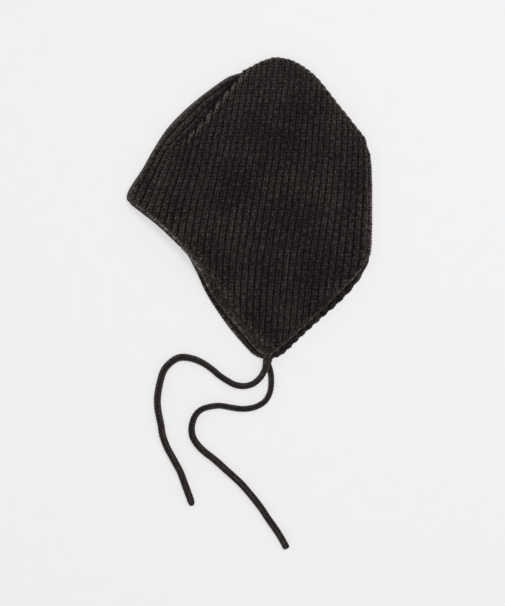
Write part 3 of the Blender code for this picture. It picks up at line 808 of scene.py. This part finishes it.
def rolled(name, centre, out, width, crest=0.3, ridge=0.45, glow=0.55, chain_at=48, groove_at=150):
    """A knitted edge rolled round itself, with a chain of stitches along its outer side.

    chain_at and groove_at say in degrees how far round from the outside the chain and the groove are.
    """
    along = np.concatenate([[0], np.linalg.norm(np.diff(centre, axis=0), axis=1).cumsum()])
    at = np.linspace(0, along[-1], round(along[-1] / RING_STEP) + 1)
    c, o = (np.stack([np.interp(at, along, v[:, k]) for k in range(3)], -1) for v in (centre, out))
    w = np.interp(at, along, width)
    ahead = unit(np.gradient(c, axis=0))
    o = unit(o - ahead * (o * ahead).sum(1, keepdims=True))
    up = np.cross(ahead, o)
    a = math.pi + math.tau * np.arange(EDGE_SIDES) / EDGE_SIDES
    outward, upward = np.cos(a), np.sin(a)

    def strip(degrees, spread):
        gaps = [np.angle(np.exp(1j * (a - way * math.radians(degrees)))) for way in (1, -1)]
        return sum(np.exp(-(gap / spread) ** 2) for gap in gaps)

    chain, groove = strip(chain_at, CHAIN_SPREAD), strip(groove_at, GROOVE_SPREAD)
    beat = np.cos(math.tau * (at[:, None] / CHAIN_PITCH + 0.22 * np.sin(a)))
    swell = chain * (ridge * 0.5 + 0.28 * beat) - groove * ridge * 0.55 + 0.12 * beat \
        + 0.12 * noise(at[:, None] / 2.1, np.broadcast_to(a * 2.0, beat.shape))
    wide = (w[:, None] / 2 + 0.5 + swell) * outward
    tall = (WALL / 2 + crest + swell * 0.8) * upward
    rings = c[:, None] + o[:, None] * wide[..., None] + up[:, None] * tall[..., None]
    ease = smoothstep(at, 0, 1.5) * smoothstep(at[-1] - at, 0, 1.5)
    rings = c[:, None] + (rings - c[:, None]) * (0.35 + 0.65 * ease)[:, None, None]
    rings[..., 2] = np.maximum(rings[..., 2], LOWEST)
    uneven = 1 + 0.35 * beat + 0.4 * noise(at[:, None] / 3.7, np.broadcast_to(a * 0.8 + 7, beat.shape))
    # Painted highlight along the chain, as strong as glow, and painted shade in the groove and on the side
    # turned to the knit.
    height = np.clip(0.8 + 0.2 * outward + glow * chain * uneven - 0.7 * groove, 0, HIGHEST)
    around = (a - math.pi) / math.tau * (w.mean() + WALL) * 1.6
    return tube(name, rings, at, around, height, edge_knit)


def front_rim():
    """The bound-off rim of the face opening: left side, round the fold, right side."""
    parts = []
    for left in (True, False):
        keep = evenly(brim, 0.5)
        keep = keep[keep[:, 1] > -39.5]
        centre, out, w = edge_path(keep, brim_width_at(keep[:, 1]), left)
        past_corner = smoothstep(shares(keep), 0, 0.25)[:, None]
        out = np.broadcast_to(CORNER_OUT, out.shape) * (1 - past_corner) + out * past_corner
        centre = centre + out * (EDGE_OUT * smoothstep(shares(keep), 0.35, 0.8))[:, None]
        order = slice(None, None, -1) if left else slice(None)
        parts.append((centre[order], out[order], w[order]))
    centre, out, w = (np.concatenate(p) for p in zip(*parts))
    keep = np.concatenate([[True], np.linalg.norm(np.diff(centre, axis=0), axis=1) > 0.02])
    return rolled("front_rim", centre[keep], out[keep], w[keep], ridge=0.5, glow=0.75, chain_at=98,
                  groove_at=176)


front_rim_piece = front_rim()
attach(front_rim_piece, "cap")
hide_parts("brim_edge")


def flap_edges(side):
    """The rolled band along a flap's front edge, and the narrow rim along its back edge."""
    left = side == "left"
    before = brim[(brim[:, 1] < -37) & (brim[:, 1] > -47)]
    line = np.vstack([before, flap_front[side]])
    width = np.concatenate([brim_width_at(before[:, 1]), band_width(shares(flap_front[side]))])
    lift = (0, 0, 0.0 if left else 0.3)
    centre, out, w = edge_path(line, width, left)
    shift = np.full(len(line), EDGE_OUT)
    if left:
        w = w + 1.2 * smoothstep(line[:, 1], -50, -70)
        shift += 0.6 * smoothstep(line[:, 1], -75, -100) - 0.8 * np.exp(-((line[:, 1] + 64) / 12) ** 2)
    centre = centre + out * shift[:, None]
    band = rolled(f"{side}_front_band", centre + lift, out, w, crest=0.35 if left else 0.0)
    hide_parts(f"{side}_flap_front_edge")

    line = evenly(flap_back[side], 1.0)
    tooth = 0.5 + 0.5 * np.cos(math.tau * (rib_at(line) - 0.5))
    width = BACK_TRIM - 0.5 + (0.4 if left else 1.5) * tooth
    centre, out, w = edge_path(line, width, left)
    lower = smoothstep(line[:, 0], 88, 75)
    centre = centre + out * (0.2 * tooth - 0.5 + 0.9 * lower if left else 1.1 * tooth - 0.3 * lower)[:, None]
    rim = rolled(f"{side}_back_rim", centre + lift, out, w, crest=0.0, ridge=0.3, glow=0.45 if left else 0.1)
    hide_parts(f"{side}_flap_back_edge")
    for piece in (band, rim):
        bend_at_fold(piece)
    return band, rim


left_edges = flap_edges("left")
right_edges = flap_edges("right")

# ---------------------------------------------------------------- gathered points and cords

CORD_SIDES = 20
CORD_START = {"left": (17.8, -143.5, 9.3), "right": (19.0, -148.0, 2.9)}  # inside the flap's point
CORD_GIRTH = {"left": (0.97, 1.1, 80), "right": (0.92, 1.09, 110)}  # thin, thick, and where it thickens
CORD_TIP = {"left": (7.0, 0.34), "right": (2.2, 0.5)}  # how long the free end tapers, and what is left there
STITCH_COLUMNS = 5
# Each flap's point: x, y and z of its middle, half its width and half its height
POINT_STATIONS = {
    "left": ((18.6, -137.0, 9.0, 4.0, 1.6), (18.5, -140.0, 9.1, 7.0, 2.4), (18.2, -143.5, 9.2, 6.0, 2.8),
             (17.9, -146.5, 9.3, 4.6, 3.0), (17.5, -149.0, 9.6, 3.5, 3.1), (17.3, -151.0, 9.8, 2.6, 2.6)),
    "right": ((19.0, -141.5, 2.5, 4.0, 1.5), (19.0, -144.5, 2.5, 7.0, 2.2), (19.0, -148.0, 2.6, 6.0, 2.4),
              (19.1, -151.0, 2.8, 4.6, 2.7), (19.2, -153.5, 3.0, 3.5, 2.9), (19.4, -155.5, 3.1, 2.6, 2.6)),
}
ROUND = math.tau * np.arange(CORD_SIDES) / CORD_SIDES - math.pi / 2  # the angle of each point of a ring


def across_and_up(line):
    """For each point of a line, two unit directions across it that turn with it as little as they can."""
    ahead = unit(np.gradient(line, axis=0))
    sides = [unit(np.cross(ahead[0], (0, 0, 1.0)))]
    for a in ahead[1:]:
        s = sides[-1] - a * (sides[-1] @ a)
        sides.append(s / np.linalg.norm(s))
    sides = np.array(sides)
    return sides, np.cross(sides, ahead)


def tie_cord(side):
    """A knitted tie cord: a tube of five columns of stitches, with a tapered or a blunt far end."""
    line = smooth_curve((CORD_START[side], *CORD_ROUTE[side]), 0.9)
    at = np.concatenate([[0], np.linalg.norm(np.diff(line, axis=0), axis=1).cumsum()])
    across, up = across_and_up(line)
    turn = ROUND[None] + at[:, None] * 0.004
    stitch = np.cos(STITCH_COLUMNS * turn)
    every_other = 0.5 * (np.floor(turn * STITCH_COLUMNS / math.tau) % 2)
    beat = np.cos(math.tau * (at[:, None] / 3.4 + 0.16 * np.abs(stitch) + every_other))
    thin, thick, where = CORD_GIRTH[side]
    full = thin + (thick - thin) * smoothstep(at[:, None], where, where + 40)
    radius = CORD_DIAMETER / 2 * (full + 0.055 * stitch + 0.035 * beat)
    radius = radius + 0.1 * noise(at[:, None] / 6, ROUND[None] * 0.6)
    taper, least = CORD_TIP[side]
    end = np.sqrt(np.clip(1 - (1 - np.clip((at[-1] - at) / taper, 0, 1)) ** 2, 0, 1))
    radius = radius * (least + (1 - least) * end)[:, None]
    rings = (line[:, None] + across[:, None] * (np.cos(ROUND) * radius)[..., None]
             + up[:, None] * (np.sin(ROUND) * radius)[..., None])
    rings[..., 2] = np.maximum(rings[..., 2], 0.05)
    # Painted shade between the columns of stitches and between the stitches.
    height = np.clip(0.62 + 0.5 * stitch + 0.16 * beat, 0, 1.2)
    around = (ROUND + math.pi / 2) * CORD_DIAMETER / 2
    made = tube(f"{side}_cord", rings, at, around, height, cord_knit)
    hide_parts(f"{side}_tie_cord")
    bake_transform(made)


def flap_point(side):
    """The point of the flap, drawn in to the cord's width."""
    s = smooth_curve(POINT_STATIONS[side], 0.7)
    folds = np.cos(STITCH_COLUMNS * ROUND[None] + 0.2 * s[:, 1:2])
    gather = 1 + 0.07 * folds + 0.05 * noise(s[:, 1:2] / 1.6, ROUND[None] * 1.6)
    rings = np.stack([s[:, :1] + s[:, 3:4] * np.cos(ROUND) * gather,
                      np.broadcast_to(s[:, 1:2], gather.shape),
                      np.maximum(s[:, 2:3] + s[:, 4:5] * np.sin(ROUND) * gather, 0.1)], -1)
    # Painted shade in the folds where the point is drawn in.
    made = tube(f"{side}_flap_point", rings, -s[:, 1], (ROUND + math.pi / 2) * 4.0,
                np.clip(0.7 + 0.4 * folds, 0, 1), rib_knit)
    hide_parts(f"{side}_cord_tack")
    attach(made, f"{side}_flap")
    return made


for side in ("left", "right"):
    tie_cord(side)
points = {side: flap_point(side) for side in ("left", "right")}

# ---------------------------------------------------------------- the side panels' transforms baked into their meshes

bend_at_fold(left_knit)
bend_at_fold(right_knit)

# ---------------------------------------------------------------- floor and light

FLOOR_HALF = 4.0  # metres
FLOOR_Z = -0.0004
FLOOR_GLOW = 0.57  # keeps the floor pale and even
STUDIO = 0.66  # strength of the light from all round

floor_material, floor_tree, floor_shader = nodes_of("floor")
g = Graph(floor_tree)
spots = g.noise(g.scaled(g.node("ShaderNodeTexCoord").outputs["Object"], (60, 60, 60)), 3.0)
tint = g.between(spots, 0.3, 0.7, 0.295, 0.305)
floor_tree.links.new(g.node("ShaderNodeCombineColor", {0: tint, 1: tint, 2: tint}).outputs[0],
                     floor_shader.inputs["Base Color"])
floor_shader.inputs["Emission Color"].default_value = (1.0, 1.0, 1.0, 1)
floor_shader.inputs["Emission Strength"].default_value = FLOOR_GLOW
floor_shader.inputs["Roughness"].default_value = 0.9
floor_shader.inputs["Specular IOR Level"].default_value = 0.1
floor_mesh = bpy.data.meshes.new("floor")
corners = [(x * FLOOR_HALF, y * FLOOR_HALF, FLOOR_Z) for x, y in ((-1, -1), (1, -1), (1, 1), (-1, 1))]
floor_mesh.from_pydata(corners, [], [(0, 1, 2, 3)])
floor_mesh.materials.append(floor_material)
floor = bpy.data.objects.new("floor", floor_mesh)
bpy.context.scene.collection.objects.link(floor)

world = bpy.data.worlds.new("studio")
world.use_nodes = True
world.node_tree.nodes["Background"].inputs["Color"].default_value = (1.0, 1.0, 1.0, 1)
world.node_tree.nodes["Background"].inputs["Strength"].default_value = STUDIO
bpy.context.scene.world = world
bpy.context.scene.view_settings.view_transform = "Standard"


def soft_light(name, place, aim, size, watts):
    """A round area light at a place, turned to a point."""
    data = bpy.data.lights.new(name, "AREA")
    data.shape, data.size, data.energy = "DISK", size, watts
    made = bpy.data.objects.new(name, data)
    made.location = place
    made.rotation_mode = "QUATERNION"
    made.rotation_quaternion = Vector(np.array(aim) - np.array(place)).to_track_quat("-Z", "Y")
    bpy.context.scene.collection.objects.link(made)


soft_light("key", place=(0.33, 0.27, 1.52), aim=(0, -0.06, 0), size=0.5, watts=10.6)
